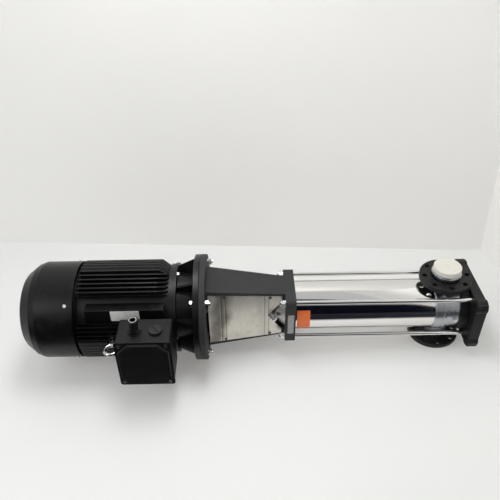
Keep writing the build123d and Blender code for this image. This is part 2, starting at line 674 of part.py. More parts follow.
# ---------------------------------------------------------------- motor: shields, frame and its insides
with BuildPart() as drive_end_shield:
    ring_z = FRAME_Z - SHIELD_RING_T
    bearing_z = MOTOR_FLANGE_TOP + 22
    revolved([
        (MOTOR_SHAFT_R + 4, STOOL_TOP - SPIGOT_H), (SPIGOT_R - FIT, STOOL_TOP - SPIGOT_H),
        (SPIGOT_R - FIT, STOOL_TOP), (MOTOR_FLANGE_R, STOOL_TOP), (MOTOR_FLANGE_R, MOTOR_FLANGE_TOP),
        (SHIELD_NECK_R, MOTOR_FLANGE_TOP), (SHIELD_NECK_R + 12, ring_z), (SHIELD_RING_R, ring_z),
        (SHIELD_RING_R, FRAME_Z), (BARREL_R - BARREL_WALL, FRAME_Z), (SHIELD_NECK_R - 6, ring_z),
        (SHIELD_NECK_R - 10, MOTOR_FLANGE_TOP + 10), (BEARING_R + 15, MOTOR_FLANGE_TOP + 10),
        (BEARING_R + 15, bearing_z + BEARING_W + 5), (BEARING_R, bearing_z + BEARING_W + 5),
        (BEARING_R, bearing_z), (MOTOR_SHAFT_R + 4, bearing_z),
    ])
    for rib in range(SHIELD_RIBS):
        angle = radians(360 / SHIELD_RIBS * (rib + 0.5))
        along = (cos(angle), sin(angle), 0)
        across = (sin(angle), -cos(angle), 0)
        with BuildSketch(Plane((0, 0, 0), x_dir=along, z_dir=across)):
            Polygon(
                (SHIELD_NECK_R - 3, MOTOR_FLANGE_TOP), (MOTOR_FLANGE_R - 12, MOTOR_FLANGE_TOP),
                (SHIELD_RING_R - 6, ring_z), (SHIELD_NECK_R + 9, ring_z), align=None,
            )
        extrude(amount=SHIELD_RIB_T / 2, both=True)
    with BuildSketch(Plane.XY.offset(STOOL_TOP)):
        with PolarLocations(MOTOR_PCD / 2, 4, start_angle=45):
            Circle(MOTOR_HOLE_R)
    extrude(amount=MOTOR_FLANGE_T, mode=Mode.SUBTRACT)
    shield_rims = drive_end_shield.edges().filter_by(GeomType.CIRCLE)
    chamfer(shield_rims.filter_by(lambda e: e.radius > MOTOR_FLANGE_R - 1), length=2)
save(drive_end_shield, "drive_end_shield")


def bank_direction(bank):
    """Angle from +X of the way a fin bank points; the banks straddle the -Y and +Y sides."""
    return (-90 + FIN_AXIS, -90 - FIN_AXIS, 90 - FIN_AXIS, 90 + FIN_AXIS)[bank]


FIN_SPREAD = 9  # fins to either side of each bank's middle fin
with BuildPart() as fins:
    for bank in range(4):
        turned = radians(bank_direction(bank))
        with BuildSketch(Plane.XY.offset(FIN_START)):
            with Locations(Location((0, 0, 0), (0, 0, bank_direction(bank)))):
                for fin in range(-FIN_SPREAD, FIN_SPREAD + 1):
                    with Locations((FIN_TIP_R / 2, fin * FIN_PITCH)):
                        Rectangle(FIN_TIP_R, FIN_T)
            # each bank keeps to its own quarter of the barrel
            with Locations((copysign(FIN_TIP_R / 2, cos(turned)), copysign(FIN_TIP_R / 2, sin(turned)))):
                Rectangle(FIN_TIP_R, FIN_TIP_R, mode=Mode.INTERSECT)
        extrude(amount=FIN_END - FIN_START)
    # single ribs where neighbouring banks meet
    with BuildSketch(Plane.XY.offset(FIN_START)):
        Rectangle(2 * FIN_TIP_R, FIN_T)
        Rectangle(FIN_T, 2 * FIN_TIP_R)
    extrude(amount=FIN_END - FIN_START)
    with BuildSketch(Plane.XZ):
        Polygon(
            (BARREL_R - 5, FIN_START), (BARREL_R, FIN_START), (FIN_TIP_R, FIN_START + FIN_SLOPE),
            (FIN_TIP_R, FIN_END), (BARREL_R - 5, FIN_END), align=None,
        )
    revolve(axis=Axis.Z, mode=Mode.INTERSECT)
    # the fins make room for the terminal box, the nameplate's shoulder and the lifting eyes' bosses
    with BuildSketch(Plane.XZ.offset(BARREL_R - 8)):
        with Locations((0, BOX_Z)):
            Rectangle(BOX_PEDESTAL_X, 2 * (BOX_Z - FIN_START) + 4)
    extrude(amount=BARREL_R, mode=Mode.SUBTRACT)
    with BuildSketch(Plane.XZ.offset(BOX_BACK - 1)):
        with Locations((0, BOX_Z)):
            Rectangle(BOX_SIZE_X + 20, BOX_SIZE_Z + 20)
    extrude(amount=BARREL_R, mode=Mode.SUBTRACT)
    with BuildSketch(Plane.XY.offset(FIN_START)):
        with Locations(Location((0, 0, 0), (0, 0, bank_direction(0)))):
            with Locations((FIN_TIP_R / 2, 0)):
                Rectangle(FIN_TIP_R, SHOULDER_GAP)
    extrude(amount=FIN_END - FIN_START, mode=Mode.SUBTRACT)
    with BuildSketch(Plane.XZ.offset(SHOULDER_Y)):
        with Locations((SHOULDER_X - NAMEPLATE_H / 2 - 2, NAMEPLATE_Z)):
            Rectangle(NAMEPLATE_H + 6, SHOULDER_END_Z - SHOULDER_Z)
    extrude(amount=BARREL_R, mode=Mode.SUBTRACT)
    for side in (-1, 1):
        with BuildSketch(Plane((0, side * BARREL_WALL, EYE_Z), z_dir=(0, side, 0))):
            Circle(EYE_BOSS_R + 5)
        extrude(amount=FIN_TIP_R, mode=Mode.SUBTRACT)

with BuildPart() as motor_frame:
    with BuildSketch(Plane.XY.offset(FRAME_Z)):
        Circle(BARREL_R)
    extrude(amount=FRAME_TOP - FRAME_Z)
    for rim_z, rim_h in ((FRAME_Z, 18), (FRAME_TOP - 12, 12)):
        with BuildSketch(Plane.XY.offset(rim_z)):
            Circle(FRAME_RIM_R)
        extrude(amount=rim_h)
    add(fins.part)
    # square shoulder that carries the nameplate
    with BuildSketch(Plane.XZ):
        Polygon(
            (0, SHOULDER_Z), (SHOULDER_X, SHOULDER_Z), (SHOULDER_X, SHOULDER_END_Z), (0, SHOULDER_END_Z),
            align=None,
        )
    extrude(amount=SHOULDER_Y)
    # terminal box pedestal
    with BuildSketch(Plane.XZ):
        with Locations((0, BOX_Z)):
            Rectangle(BOX_PEDESTAL_X, BOX_SIZE_Z - 40)
    extrude(amount=BOX_BACK)
    # lifting eye bosses
    for side in (-1, 1):
        with BuildSketch(Plane((0, 0, EYE_Z), z_dir=(0, side, 0))):
            Circle(EYE_BOSS_R)
        extrude(amount=EYE_SEAT)
    with BuildSketch(Plane.XY.offset(FRAME_Z)):
        Circle(BARREL_R - BARREL_WALL)
    extrude(amount=FRAME_TOP - FRAME_Z, mode=Mode.SUBTRACT)
    for side in (-1, 1):
        with BuildSketch(Plane((0, side * EYE_SEAT, EYE_Z), z_dir=(0, side, 0))):
            Circle(8 + FIT)
        extrude(amount=-22, mode=Mode.SUBTRACT)
save(motor_frame, "motor_frame")

with BuildPart() as eye_bolts:
    for side in (-1, 1):
        eye_plane = Plane((0, side * EYE_REACH, EYE_Z), z_dir=(1, 0, 0))
        with Locations(eye_plane.location):
            Torus(EYE_R, EYE_WIRE_R)
        with BuildSketch(Plane((0, side * EYE_SEAT, EYE_Z), z_dir=(0, side, 0))):
            Circle(15)
        extrude(amount=EYE_REACH - EYE_R - EYE_SEAT)
        with BuildSketch(Plane((0, side * EYE_SEAT, EYE_Z), z_dir=(0, side, 0))):
            Circle(8)
        extrude(amount=-20)
save(eye_bolts, "eye_bolts")

with BuildPart() as nameplate:
    with BuildSketch(Plane.XZ.offset(SHOULDER_Y)):
        with Locations((SHOULDER_X - NAMEPLATE_H / 2 - 2, NAMEPLATE_Z)):
            RectangleRounded(NAMEPLATE_H, NAMEPLATE_W, 3)
    extrude(amount=1.5)
save(nameplate, "nameplate")

with BuildPart() as rear_shield:
    revolved([
        (REAR_BEARING_R, FRAME_TOP - 25), (REAR_BEARING_R + 15, FRAME_TOP - 25), (REAR_BEARING_R + 15, FRAME_TOP),
        (REAR_SHIELD_R, FRAME_TOP), (REAR_SHIELD_R, FRAME_TOP + REAR_SHIELD_T),
        (REAR_BEARING_R + 20, FRAME_TOP + REAR_SHIELD_T), (REAR_BEARING_R + 20, FRAME_TOP + LUG_H),
        (MOTOR_SHAFT_R + 3, FRAME_TOP + LUG_H), (MOTOR_SHAFT_R + 3, FRAME_TOP + 20), (REAR_BEARING_R, FRAME_TOP + 20),
    ])
    with BuildSketch(Plane.XY.offset(FRAME_TOP)):
        with PolarLocations(REAR_SHIELD_R + 6, 4, start_angle=45):
            Rectangle(60, 34)
        Circle(COVER_R - COVER_T - FIT, mode=Mode.INTERSECT)
    extrude(amount=LUG_H)
    for n in range(4):
        angle = radians(45 + 90 * n)
        with BuildSketch(Plane((0, 0, COVER_SCREW_Z), z_dir=(cos(angle), sin(angle), 0))):
            Circle(4 + FIT)
        extrude(amount=COVER_R, mode=Mode.SUBTRACT)
save(rear_shield, "rear_shield")

with BuildPart() as stator_core:
    with BuildSketch(Plane.XY.offset(CORE_Z)):
        Circle(BARREL_R - BARREL_WALL)
        Circle(CORE_R + AIR_GAP, mode=Mode.SUBTRACT)
    extrude(amount=CORE_H)
save(stator_core, "stator_core")

with BuildPart() as stator_windings:
    for end_z in (CORE_Z - 45, CORE_Z + CORE_H):
        with BuildSketch(Plane.XY.offset(end_z)):
            Circle(CORE_R + 62)
            Circle(CORE_R + 8, mode=Mode.SUBTRACT)
        extrude(amount=45)
save(stator_windings, "stator_windings")

with BuildPart() as rotor_core:
    with BuildSketch(Plane.XY.offset(CORE_Z)):
        Circle(CORE_R)
        Circle(MOTOR_SHAFT_R, mode=Mode.SUBTRACT)
    extrude(amount=CORE_H)
save(rotor_core, "rotor_core")

with BuildPart() as motor_shaft:
    revolved([
        (0, COUPLING_MID + SHAFT_GAP / 2), (MOTOR_SHAFT_R - SHAFT_STEP, COUPLING_MID + SHAFT_GAP / 2),
        (MOTOR_SHAFT_R - SHAFT_STEP, COUPLING_Z + COUPLING_H + 10), (MOTOR_SHAFT_R, COUPLING_Z + COUPLING_H + 10),
        (MOTOR_SHAFT_R, FAN_Z), (MOTOR_SHAFT_R - SHAFT_STEP, FAN_Z), (MOTOR_SHAFT_R - SHAFT_STEP, FAN_Z + FAN_H),
        (0, FAN_Z + FAN_H),
    ])
save(motor_shaft, "motor_shaft")

with BuildPart() as motor_bearings:
    for ring_z, outer in ((MOTOR_FLANGE_TOP + 22, BEARING_R), (FRAME_TOP - 15, REAR_BEARING_R)):
        with BuildSketch(Plane.XY.offset(ring_z)):
            Circle(outer)
            Circle(MOTOR_SHAFT_R + RUNNING, mode=Mode.SUBTRACT)
        extrude(amount=BEARING_W)
save(motor_bearings, "motor_bearings")

with BuildPart() as cooling_fan:
    with BuildSketch(Plane.XY.offset(FAN_Z)):
        Circle(FAN_R * 0.55)
        Circle(MOTOR_SHAFT_R - SHAFT_STEP, mode=Mode.SUBTRACT)
    extrude(amount=5)
    with BuildSketch(Plane.XY.offset(FAN_Z)):
        Circle(MOTOR_SHAFT_R + 8)
        Circle(MOTOR_SHAFT_R - SHAFT_STEP, mode=Mode.SUBTRACT)
    extrude(amount=FAN_H)
    with BuildSketch(Plane.XY.offset(FAN_Z)):
        with PolarLocations((FAN_R + MOTOR_SHAFT_R + 4) / 2, FAN_BLADES):
            Rectangle(FAN_R - MOTOR_SHAFT_R - 4, 4)
    extrude(amount=FAN_H - 12)
save(cooling_fan, "cooling_fan")

with BuildPart() as fan_cover:
    revolved([
        (COVER_R - COVER_T, COVER_Z), (COVER_R, COVER_Z), (COVER_R, COVER_SHOULDER_Z),
        (COVER_R - 9, COVER_SHOULDER_Z + 26), (COVER_END_R + 8, COVER_END_Z - 6), (COVER_END_R, COVER_END_Z),
        (0, COVER_END_Z), (0, COVER_END_Z - COVER_T), (COVER_END_R, COVER_END_Z - COVER_T),
        (COVER_END_R + 6, COVER_END_Z - 8), (COVER_R - 9 - COVER_T, COVER_SHOULDER_Z + 25),
        (COVER_R - COVER_T, COVER_SHOULDER_Z),
    ])
    with BuildSketch(Plane.XY.offset(COVER_END_Z - COVER_T)):
        with PolarLocations(98, 24):
            SlotOverall(92, 7)
    extrude(amount=COVER_T, mode=Mode.SUBTRACT)
    for n in range(4):
        angle = radians(45 + 90 * n)
        with BuildSketch(Plane((0, 0, COVER_SCREW_Z), z_dir=(cos(angle), sin(angle), 0))):
            Circle(4 + FIT)
        extrude(amount=COVER_R, mode=Mode.SUBTRACT)
save(fan_cover, "fan_cover")

with BuildPart() as fan_cover_screws:
    for n in range(4):
        angle = radians(45 + 90 * n)
        along = (cos(angle), sin(angle), 0)
        start = (COVER_R * cos(angle), COVER_R * sin(angle), COVER_SCREW_Z)
        with BuildSketch(Plane(start, z_dir=along)):
            Circle(7)
        extrude(amount=4)
        with BuildSketch(Plane(start, z_dir=along)):
            Circle(4)
        extrude(amount=-16)
save(fan_cover_screws, "fan_cover_screws")

# ---------------------------------------------------------------- terminal box
LID_BACK = BOX_FRONT - LID_RAISE - LID_T
with BuildPart() as terminal_box:
    with BuildSketch(Plane.XZ.offset(BOX_BACK)):
        with Locations((0, BOX_Z)):
            RectangleRounded(BOX_SIZE_X - 6, BOX_SIZE_Z - 6, BOX_CORNER_R)
    extrude(amount=LID_BACK - BOX_BACK)
    with BuildSketch(Plane.XZ.offset(BOX_BACK + BOX_WALL)):
        with Locations((0, BOX_Z)):
            RectangleRounded(BOX_SIZE_X - 6 - 2 * BOX_WALL, BOX_SIZE_Z - 6 - 2 * BOX_WALL, BOX_CORNER_R / 2)
    extrude(amount=LID_BACK - BOX_BACK, mode=Mode.SUBTRACT)
    with BuildSketch(Plane.XZ.offset(BOX_BACK)):
        with Locations((0, BOX_Z)):
            with GridLocations(BOX_SIZE_X - 2 * LID_SCREW_INSET, BOX_SIZE_Z - 2 * LID_SCREW_INSET, 2, 2):
                Circle(9)
    extrude(amount=LID_BACK - BOX_BACK)
    for entry_z in (GLAND_Z, BLANK_Z):
        with BuildSketch(Plane((BOX_SIZE_X / 2 - 3, ENTRY_Y, entry_z), z_dir=(1, 0, 0))):
            Circle(29)
        extrude(amount=3)
        with BuildSketch(Plane((BOX_SIZE_X / 2, ENTRY_Y, entry_z), z_dir=(1, 0, 0))):
            Circle(16 + FIT)
        extrude(amount=-BOX_WALL - 8, mode=Mode.SUBTRACT)
save(terminal_box, "terminal_box")

with BuildPart() as terminal_box_lid:
    with BuildSketch(Plane.XZ.offset(LID_BACK)):
        with Locations((0, BOX_Z)):
            RectangleRounded(BOX_SIZE_X, BOX_SIZE_Z, BOX_CORNER_R)
            with GridLocations(BOX_SIZE_X - 2 * LID_SCREW_INSET, BOX_SIZE_Z - 2 * LID_SCREW_INSET, 2, 2):
                Circle(4 + FIT, mode=Mode.SUBTRACT)
    extrude(amount=LID_T)
    half_x = BOX_SIZE_X / 2 - LID_MARGIN
    half_z = BOX_SIZE_Z / 2 - LID_MARGIN
    cut = LID_CORNER_CUT
    with BuildSketch(Plane.XZ.offset(LID_BACK + LID_T)):
        with Locations((0, BOX_Z)):
            Polygon(
                (half_x, half_z - cut), (half_x - cut, half_z), (cut - half_x, half_z), (-half_x, half_z - cut),
                (-half_x, cut - half_z), (cut - half_x, -half_z), (half_x - cut, -half_z), (half_x, cut - half_z),
                align=None,
            )
    extrude(amount=LID_RAISE, taper=30)
save(terminal_box_lid, "terminal_box_lid")

with BuildPart() as lid_screws:
    with BuildSketch(Plane.XZ.offset(LID_BACK + LID_T)):
        with Locations((0, BOX_Z)):
            with GridLocations(BOX_SIZE_X - 2 * LID_SCREW_INSET, BOX_SIZE_Z - 2 * LID_SCREW_INSET, 2, 2):
                Circle(7)
    extrude(amount=4)
    with BuildSketch(Plane.XZ.offset(LID_BACK)):
        with Locations((0, BOX_Z)):
            with GridLocations(BOX_SIZE_X - 2 * LID_SCREW_INSET, BOX_SIZE_Z - 2 * LID_SCREW_INSET, 2, 2):
                Circle(4)
    extrude(amount=LID_T)
save(lid_screws, "lid_screws")

with BuildPart() as terminal_block:
    with BuildSketch(Plane.XZ.offset(BOX_BACK + BOX_WALL)):
        with Locations((0, BOX_Z)):
            Rectangle(110, 70)
    extrude(amount=22)
    with BuildSketch(Plane.XZ.offset(BOX_BACK + BOX_WALL + 22)):
        with Locations((0, BOX_Z)):
            with GridLocations(34, 36, 3, 2):
                Circle(5)
    extrude(amount=18)
save(terminal_block, "terminal_block")

with BuildPart() as cable_gland:
    with BuildSketch(Plane((BOX_SIZE_X / 2 - BOX_WALL - 3, ENTRY_Y, GLAND_Z), z_dir=(1, 0, 0))):
        Circle(16)
    extrude(amount=BOX_WALL + 3)
    with BuildSketch(Plane((BOX_SIZE_X / 2, ENTRY_Y, GLAND_Z), z_dir=(1, 0, 0))):
        hexagon(41)
    extrude(amount=10)
    with BuildSketch(Plane((BOX_SIZE_X / 2 + 10, ENTRY_Y, GLAND_Z), z_dir=(1, 0, 0))):
        Circle(17)
    extrude(amount=GLAND_H - 32)
    with BuildSketch(Plane((BOX_SIZE_X / 2 + GLAND_H - 22, ENTRY_Y, GLAND_Z), z_dir=(1, 0, 0))):
        Circle(20)
    extrude(amount=22)
    chamfer(cable_gland.faces().sort_by(Axis.X)[-1].edges(), length=4)
    with BuildSketch(Plane((BOX_SIZE_X / 2 - BOX_WALL - 3, ENTRY_Y, GLAND_Z), z_dir=(1, 0, 0))):
        Circle(GLAND_BORE_R)
    extrude(amount=BOX_WALL + 3 + GLAND_H, mode=Mode.SUBTRACT)
save(cable_gland, "cable_gland")

with BuildPart() as blanking_plug:
    with BuildSketch(Plane((BOX_SIZE_X / 2 - BOX_WALL - 3, ENTRY_Y, BLANK_Z), z_dir=(1, 0, 0))):
        Circle(16)
    extrude(amount=BOX_WALL + 3)
    with BuildSketch(Plane((BOX_SIZE_X / 2, ENTRY_Y, BLANK_Z), z_dir=(1, 0, 0))):
        Circle(26)
    extrude(amount=6)
    with BuildSketch(Plane((BOX_SIZE_X / 2 + 6, ENTRY_Y, BLANK_Z), z_dir=(1, 0, 0))):
        Rectangle(5, 34, rotation=35)
    extrude(amount=-3, mode=Mode.SUBTRACT)
save(blanking_plug, "blanking_plug")

# ---------------------------------------------------------------- bolts of the motor flange and shield
BOLT_R = 8.0
BOLT_AF = 24.0
with BuildPart() as flange_bolts:
    with BuildSketch(Plane.XY.offset(STOOL_FLANGE_Z - 22)):
        with PolarLocations(MOTOR_PCD / 2, 4, start_angle=45):
            Circle(BOLT_R)
    extrude(amount=MOTOR_FLANGE_TOP - STOOL_FLANGE_Z + 22)
    for nut_z, nut_h in ((STOOL_FLANGE_Z - 16, 13), (MOTOR_FLANGE_TOP + 3, 10)):
        with BuildSketch(Plane.XY.offset(nut_z)):
            with PolarLocations(MOTOR_PCD / 2, 4, start_angle=45):
                hexagon(BOLT_AF)
        extrude(amount=nut_h)
    for washer_z in (STOOL_FLANGE_Z - 3, MOTOR_FLANGE_TOP):
        with BuildSketch(Plane.XY.offset(washer_z)):
            with PolarLocations(MOTOR_PCD / 2, 4, start_angle=45):
                Circle(15)
        extrude(amount=3)
save(flange_bolts, "flange_bolts")

with BuildPart() as shield_bolts:
    with BuildSketch(Plane.XY.offset(FRAME_Z - SHIELD_RING_T)):
        with PolarLocations(SHIELD_BOLT_R, 4):
            hexagon(17)
    extrude(amount=-9)
save(shield_bolts, "shield_bolts")
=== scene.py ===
"""Vertical multistage pump lying on a workshop floor: finishes, labels, light and camera."""

from math import cos, radians, sin

import bpy
from mathutils import Matrix, Vector


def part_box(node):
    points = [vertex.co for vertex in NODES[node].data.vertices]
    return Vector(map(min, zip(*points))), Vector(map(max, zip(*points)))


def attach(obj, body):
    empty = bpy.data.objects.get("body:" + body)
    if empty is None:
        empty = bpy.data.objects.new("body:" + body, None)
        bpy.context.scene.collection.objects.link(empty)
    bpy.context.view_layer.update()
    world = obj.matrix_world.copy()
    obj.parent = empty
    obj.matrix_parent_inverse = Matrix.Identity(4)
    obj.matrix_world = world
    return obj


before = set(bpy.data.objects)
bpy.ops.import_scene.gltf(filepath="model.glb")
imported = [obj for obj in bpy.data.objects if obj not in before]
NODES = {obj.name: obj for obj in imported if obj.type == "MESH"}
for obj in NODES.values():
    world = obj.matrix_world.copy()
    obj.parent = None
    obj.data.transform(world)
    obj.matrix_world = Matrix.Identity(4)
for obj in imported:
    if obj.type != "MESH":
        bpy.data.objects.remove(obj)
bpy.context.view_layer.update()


# ------------------------------------------------------------ shader expressions
class Shade:
    """A shader socket that takes part in Python arithmetic; each operation adds its Math node."""

    def __init__(self, tree, socket):
        self.tree = tree
        self.socket = socket

    def math(self, operation, *others, clamp=False):
        node = self.tree.nodes.new("ShaderNodeMath")
        node.operation = operation
        node.use_clamp = clamp
        for slot, value in zip(node.inputs, others):
            if isinstance(value, Shade):
                self.tree.links.new(value.socket, slot)
            else:
                slot.default_value = value
        return Shade(self.tree, node.outputs[0])

    def __add__(self, other):
        return self.math("ADD", self, other)

    __radd__ = __add__

    def __sub__(self, other):
        return self.math("SUBTRACT", self, other)

    def __rsub__(self, other):
        return self.math("SUBTRACT", other, self)

    def __mul__(self, other):
        return self.math("MULTIPLY", self, other)

    __rmul__ = __mul__

    def clamped(self):
        return self.math("ADD", self, 0.0, clamp=True)

    def band(self, low, high):
        """0 below low, 1 above high, straight between."""
        return self.math("MULTIPLY", self - low, 1.0 / (high - low), clamp=True)


class Nodes:
    """A node tree that takes its nodes through one method."""

    def __init__(self, tree):
        self.tree = tree

    def node(self, kind, settings=(), output=0, **inputs):
        """Adds one node: its settings first, then the values or links of its sockets."""
        made = self.tree.nodes.new(kind)
        for key, value in dict(settings).items():
            setattr(made, key, value)
        for key, value in inputs.items():
            numbered = key[0] == "i" and key[1:].isdigit()
            slot = made.inputs[int(key[1:])] if numbered else made.inputs[key.replace("_", " ")]
            if isinstance(value, Shade):
                self.tree.links.new(value.socket, slot)
            else:
                slot.default_value = value
        return Shade(self.tree, made.outputs[output])

    def mix(self, factor, first, second):
        return self.node("ShaderNodeMix", {"data_type": "RGBA"}, output=2, i0=factor, i6=first, i7=second)

    def path_is(self, *rays):
        """1 for the named kinds of ray."""
        kinds = [self.node("ShaderNodeLightPath", output=ray) for ray in rays]
        return sum(kinds[1:], kinds[0])


CAMERA_RAY, GLOSSY_RAY = "Is Camera Ray", "Is Glossy Ray"


class Finish(Nodes):
    """A material under construction on one Principled shader."""

    def __init__(self, name, **constants):
        self.material = bpy.data.materials.new(name)
        self.material.use_nodes = True
        super().__init__(self.material.node_tree)
        self.shader = self.tree.nodes["Principled BSDF"]
        for socket, value in constants.items():
            self.shader.inputs[socket.replace("_", " ")].default_value = value

    def place(self):
        """Coordinates fixed to the pump, in metres."""
        return self.node("ShaderNodeTexCoord", output="Object")

    def axis_part(self, axis):
        return self.node("ShaderNodeSeparateXYZ", output=axis, Vector=self.place())

    def stretched(self, scale):
        return self.node("ShaderNodeMapping", Vector=self.place(), Scale=scale)

    def noise(self, scale, detail=3.0, roughness=0.55, at=None):
        return self.node("ShaderNodeTexNoise", Vector=at or self.place(), Scale=scale, Detail=detail,
                         Roughness=roughness)

    def specks(self, scale, at=None):
        return self.node("ShaderNodeTexVoronoi", Vector=at or self.place(), Scale=scale)

    def feed(self, **values):
        for socket, value in values.items():
            self.tree.links.new(value.socket, self.shader.inputs[socket.replace("_", " ")])
        return self

    def bump(self, height, strength, distance):
        raised = self.node("ShaderNodeBump", Height=height, Strength=strength, Distance=distance)
        return self.feed(Normal=raised)


def rgb(red, green, blue):
    return (red, green, blue, 1.0)


DUST = rgb(0.11, 0.11, 0.108)
EVEN = (1.0, 1.0, 1.0)  # finishing lines without a direction
POLISHED = (1.0, 1.0, 0.03)  # finishing lines drawn out along the shaft
SATIN = (1.0, 1.0, 0.3)
HAIRLINE = (1.0, 1.0, 0.16)


def lightened(colour, factor):
    return tuple(min(1.0, part * factor) for part in colour[:3]) + (1.0,)


def paint(name, colour, gloss=0.3, grain=0.0002, shine=0.3, dustiness=0.12):
    """Machine paint: faint orange peel, dulled patches, fine pale dust and a few rubbed specks."""
    f = Finish(name, Metallic=0.0, Specular_IOR_Level=shine)
    patches = f.noise(9.0, 4.0, 0.6)
    dust = (f.noise(36.0, 5.0, 0.7).band(0.5, 0.9) * 0.5 + f.specks(900.0).band(0.2, 0.0) * 0.3).clamped()
    body = f.mix(patches.band(0.4, 0.75), colour, lightened(colour, 1.4))
    f.feed(Base_Color=f.mix(dust * dustiness, body, DUST))
    f.feed(Roughness=(gloss + patches.band(0.3, 0.8) * 0.14 + dust * 0.25).clamped())
    return f.bump(f.noise(420.0, 2.0), 0.25, grain).material


def casting(name, colour, dusty, rough=0.6, grain=0.0007):
    """Painted casting: pebbled skin with pits, a little dust in the hollows."""
    f = Finish(name, Metallic=0.0, Specular_IOR_Level=0.34)
    pebbles = f.noise(260.0, 4.0, 0.62)
    patches = f.noise(14.0, 4.0, 0.6)
    pits = f.specks(130.0).band(0.18, 0.02)
    body = f.mix(patches.band(0.3, 0.8), colour, lightened(colour, 1.45))
    hollows = (pebbles.band(0.55, 0.8) * 0.22 + patches.band(0.62, 0.9) * 0.22).clamped()
    f.feed(Base_Color=f.mix(hollows, body, dusty))
    f.feed(Roughness=(rough + patches.band(0.3, 0.8) * 0.14 - pebbles.band(0.5, 0.8) * 0.12).clamped())
    return f.bump(pebbles - pits * 0.5, 0.55, grain).material


def stainless(name, colour, rough, lines, smudge, streak=EVEN, grain=0.00006):
    """Bare stainless: fine finishing lines along the stretch, cloudy smudges and hairline marks."""
    f = Finish(name, Metallic=1.0)
    brushed = f.noise(900.0, 3.0, 0.6, f.stretched(streak))
    clouds = f.noise(7.0, 5.0, 0.62)
    marks = f.specks(26.0, f.stretched(HAIRLINE)).band(0.05, 0.0)
    worn = (clouds.band(0.4, 0.8) * smudge + brushed.band(0.45, 0.75) * lines).clamped()
    f.feed(Base_Color=f.mix(worn, colour, lightened(colour, 0.82)))
    f.feed(Roughness=(rough + brushed.band(0.35, 0.7) * lines * 0.14 + clouds.band(0.5, 0.9) * smudge * 0.12
                      + marks * 0.1).clamped())
    return f.bump(brushed, 0.25, grain).material


GUARD_BEADS = (0.907, 0.925, 1.092, 1.11)  # pressed lines across the guard, heights up the pump
BEAD_HALF = 0.003
ARC_STRETCH = (1.0, 1.0, 0.7)
WIPED_DARK = rgb(0.2, 0.185, 0.16)


def wiped_sheet(name, colour):
    """Satin guard sheet: broad wiped arcs that darken towards the motor, pale clouds, small marks, and a
    painted highlight and painted shade at each pressed bead line.
    """
    f = Finish(name, Metallic=1.0)
    towards_motor = f.axis_part("Z").band(0.98, 1.09)
    arcs = f.node("ShaderNodeTexWave", {"wave_type": "RINGS"}, output="Fac",
                  Vector=f.stretched(ARC_STRETCH), Scale=2.6, Distortion=5.0, Detail=2.0, Detail_Scale=1.3)
    clouds = f.noise(16.0, 5.0, 0.65)
    wipes_and_painted_bead_shade = (arcs.band(0.55, 0.95) * (towards_motor * 0.6 + 0.15) + clouds.band(0.5, 0.75) * 0.3).clamped()
    pale = f.mix(f.noise(40.0, 4.0, 0.6).band(0.5, 0.75) * 0.5, colour, lightened(colour, 1.25))
    dots = f.specks(55.0).band(0.06, 0.02)
    along = f.axis_part("Z")
    # painted light: each bead crest is painted paler as a painted highlight and the band just below it
    # darker as painted shade; the crests also raise the bump
    crests = [along.band(z - BEAD_HALF, z) * along.band(z + BEAD_HALF, z) for z in GUARD_BEADS]
    painted_valley_shade = [along.band(z - 3 * BEAD_HALF, z - BEAD_HALF) * along.band(z, z - BEAD_HALF)
               for z in GUARD_BEADS]
    bead_relief_and_painted_highlight = sum(crests[1:], crests[0])
    wipes_and_painted_bead_shade = (wipes_and_painted_bead_shade + sum(painted_valley_shade[1:], painted_valley_shade[0]) * 0.5 - bead_relief_and_painted_highlight * 0.5).clamped()
    f.feed(Base_Color=f.mix((wipes_and_painted_bead_shade + dots * 0.4).clamped(), pale, WIPED_DARK))
    f.feed(Roughness=(0.34 + wipes_and_painted_bead_shade * 0.16 + dots * 0.2).clamped())
    return f.bump(f.noise(500.0, 2.0) * 0.05 + bead_relief_and_painted_highlight, 0.5, 0.0012).material


def plated(name, colour=rgb(0.78, 0.78, 0.76), rough=0.2):
    """Zinc plate with cloudy passivation and small dull specks."""
    f = Finish(name, Metallic=1.0)
    clouds = f.noise(70.0, 4.0, 0.6)
    dull = f.specks(420.0).band(0.2, 0.0)
    f.feed(Base_Color=f.mix(clouds.band(0.4, 0.8), colour, lightened(colour, 0.7)))
    f.feed(Roughness=(rough + clouds.band(0.4, 0.8) * 0.16 + dull * 0.2).clamped())
    return f.bump(f.noise(700.0, 3.0), 0.2, 0.00006).material


def plastic(name, colour, second, rough, grain=0.0001, scale=26.0):
    """Moulded plastic or printed film: slight mottling and scuffs."""
    f = Finish(name, Metallic=0.0, Specular_IOR_Level=0.4)
    mottled = f.noise(scale, 4.0, 0.6)
    scuffs = f.specks(210.0).band(0.1, 0.0)
    f.feed(Base_Color=f.mix((mottled.band(0.4, 0.8) * 0.6 + scuffs * 0.3).clamped(), colour, second))
    f.feed(Roughness=(rough + mottled.band(0.3, 0.8) * 0.12 + scuffs * 0.15).clamped())
    return f.bump(f.noise(600.0, 3.0), 0.2, grain).material


